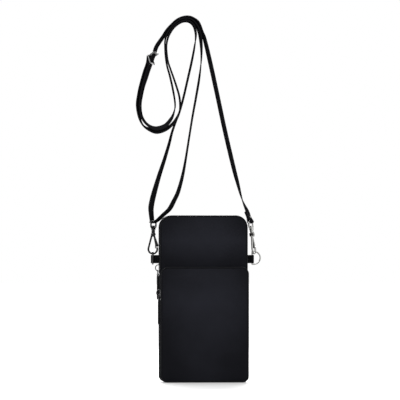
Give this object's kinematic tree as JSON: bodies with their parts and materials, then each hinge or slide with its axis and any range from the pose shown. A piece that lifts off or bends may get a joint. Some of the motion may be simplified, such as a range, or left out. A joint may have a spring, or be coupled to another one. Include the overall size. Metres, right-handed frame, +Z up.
{
  "type": "phone pouch",
  "caption": "Slim dark nylon phone pouch with a zipped main compartment, a zipped front pocket and a long webbing strap on snap hooks, hanging from the top of its strap.",
  "frame": {"origin": "inner face of the strap at its highest point, where it hangs", "axes": "+Z up, +X to the right as seen from the front pocket side, +Y from the front pocket to the back"},
  "size_m": [0.1406, 0.0492, 0.4077],
  "materials": {
    "shell_cloth": "smooth dark nylon with a soft sheen",
    "edge_binding": "tight woven binding",
    "lining_cloth": "thin matt lining",
    "padding": "soft sheet",
    "zip_tape": "fine ribbed tape",
    "zip_teeth": "moulded coil",
    "bright_nickel": "polished plate with light wear",
    "dark_nickel": "polished plate with light wear",
    "spring_steel": "bare wire",
    "pull_rubber": "satin",
    "webbing": "fine woven webbing"
  },
  "bodies": {
    "root": {"back_panel": "shell_cloth", "back_padding": "padding", "back_lining": "lining_cloth", "back_piping": "edge_binding", "main_gusset": "shell_cloth", "main_gusset_lining": "lining_cloth", "divider_panel": "shell_cloth", "divider_lining": "lining_cloth", "main_front_piping": "edge_binding", "main_zip_tape_rear": "zip_tape", "main_zip_chain_rear": "zip_teeth", "pocket_gusset": "shell_cloth", "pocket_panel": "shell_cloth", "pocket_lining": "lining_cloth", "pocket_piping": "edge_binding", "pocket_zip_tape_rear": "zip_tape", "pocket_zip_chain_rear": "zip_teeth", "zip_end_stops": "bright_nickel", "left_tab": "webbing", "right_tab": "webbing", "left_hook_eye": "dark_nickel", "right_hook_eye": "bright_nickel", "strap_end_rivet": "bright_nickel", "strap_right_leg": "webbing", "strap_outer_crown": "webbing", "strap_inner_loop": "webbing", "strap_middle_crown": "webbing", "strap_left_legs": "webbing", "strap_inner_crown": "webbing", "strap_outer_loop": "webbing", "strap_tail": "webbing"},
    "main_flap": {"main_flap_panel": "shell_cloth", "main_flap_lining": "lining_cloth", "main_flap_piping": "edge_binding", "main_zip_tape_front": "zip_tape", "main_zip_chain_front": "zip_teeth"},
    "pocket_flap": {"pocket_flap_panel": "shell_cloth", "pocket_flap_lining": "lining_cloth", "pocket_flap_piping": "edge_binding", "pocket_zip_tape_front": "zip_tape", "pocket_zip_chain_front": "zip_teeth"},
    "main_slider": {"main_zip_slider": "bright_nickel"},
    "main_link": {"main_pull_link": "bright_nickel"},
    "main_pull": {"main_pull_tab": "pull_rubber"},
    "pocket_slider": {"pocket_zip_slider": "bright_nickel"},
    "pocket_link": {"pocket_pull_link": "bright_nickel"},
    "pocket_pull": {"pocket_pull_tab": "pull_rubber"},
    "left_ring": {"left_d_ring": "bright_nickel"},
    "right_ring": {"right_d_ring": "bright_nickel"},
    "left_hook": {"left_hook_body": "dark_nickel", "left_hook_rivet": "dark_nickel", "left_hook_spring": "spring_steel"},
    "left_gate": {"left_hook_gate": "dark_nickel"},
    "right_hook": {"right_hook_body": "bright_nickel", "right_hook_rivet": "bright_nickel", "right_hook_spring": "spring_steel"},
    "right_gate": {"right_hook_gate": "bright_nickel"},
    "adjuster": {"adjuster_buckle": "bright_nickel", "strap_tail_end": "webbing"}
  },
  "joints": [
    {"name": "main_flap_fold", "type": "hinge", "parent": "root", "child": "main_flap", "pos_m": [0.02002, -0.021, -0.26275], "axis": [0.9932, 0, 0.1165], "range_deg": [0, 60]},
    {"name": "pocket_flap_fold", "type": "hinge", "parent": "root", "child": "pocket_flap", "pos_m": [0.02002, -0.037, -0.296], "axis": [1, 0, 0], "range_deg": [0, 60]},
    {"name": "main_zip_slide", "type": "slide", "parent": "root", "child": "main_slider", "axis": [0, 0, 1], "range_m": [0, 0.04]},
    {"name": "main_link_swing", "type": "hinge", "parent": "main_slider", "child": "main_link", "pos_m": [-0.03063, -0.01, -0.27558], "axis": [0, 1, 0], "range_deg": [0, 90]},
    {"name": "main_pull_swing", "type": "hinge", "parent": "main_link", "child": "main_pull", "pos_m": [-0.03063, -0.01, -0.28058], "axis": [0, 1, 0], "range_deg": [0, 45]},
    {"name": "pocket_zip_slide", "type": "slide", "parent": "root", "child": "pocket_slider", "axis": [0, 0, 1], "range_m": [0, 0.016]},
    {"name": "pocket_link_swing", "type": "hinge", "parent": "pocket_slider", "child": "pocket_link", "pos_m": [-0.03063, -0.029, -0.30308], "axis": [0, 1, 0], "range_deg": [0, 90]},
    {"name": "pocket_pull_swing", "type": "hinge", "parent": "pocket_link", "child": "pocket_pull", "pos_m": [-0.03063, -0.029, -0.30808], "axis": [0, 1, 0], "range_deg": [0, 45]},
    {"name": "left_ring_swing", "type": "hinge", "parent": "root", "child": "left_ring", "pos_m": [-0.03558, 0, -0.26235], "axis": [0, 0, -1], "range_deg": [-20, 20]},
    {"name": "right_ring_swing", "type": "hinge", "parent": "root", "child": "right_ring", "pos_m": [0.07562, 0, -0.26235], "axis": [0, 0, 1], "range_deg": [-12, 12]},
    {"name": "left_hook_swivel", "type": "hinge", "parent": "root", "child": "left_hook", "pos_m": [-0.0347, -0.00215, -0.22156], "axis": [-0.0262, 0, -0.9997], "range_deg": [-20, 20]},
    {"name": "left_gate_hinge", "type": "hinge", "parent": "left_hook", "child": "left_gate", "pos_m": [-0.03448, -0.00215, -0.23617], "axis": [0, 1, 0], "range_deg": [0, 16], "stiffness_Nm_per_rad": 0.005},
    {"name": "right_hook_swivel", "type": "hinge", "parent": "root", "child": "right_hook", "pos_m": [0.07365, 0, -0.2218], "axis": [-0.1219, 0, 0.9925], "range_deg": [-15, 20]},
    {"name": "right_gate_hinge", "type": "hinge", "parent": "right_hook", "child": "right_gate", "pos_m": [0.07567, 0.00055, -0.23626], "axis": [-0.9067, 0.4067, -0.1113], "range_deg": [0, 16], "stiffness_Nm_per_rad": 0.005},
    {"name": "adjuster_slide", "type": "slide", "parent": "root", "child": "adjuster", "axis": [-0.3282, 0, -0.9446], "range_m": [-0.005, 0.005], "deforming": ["strap_tail"]}
  ]
}
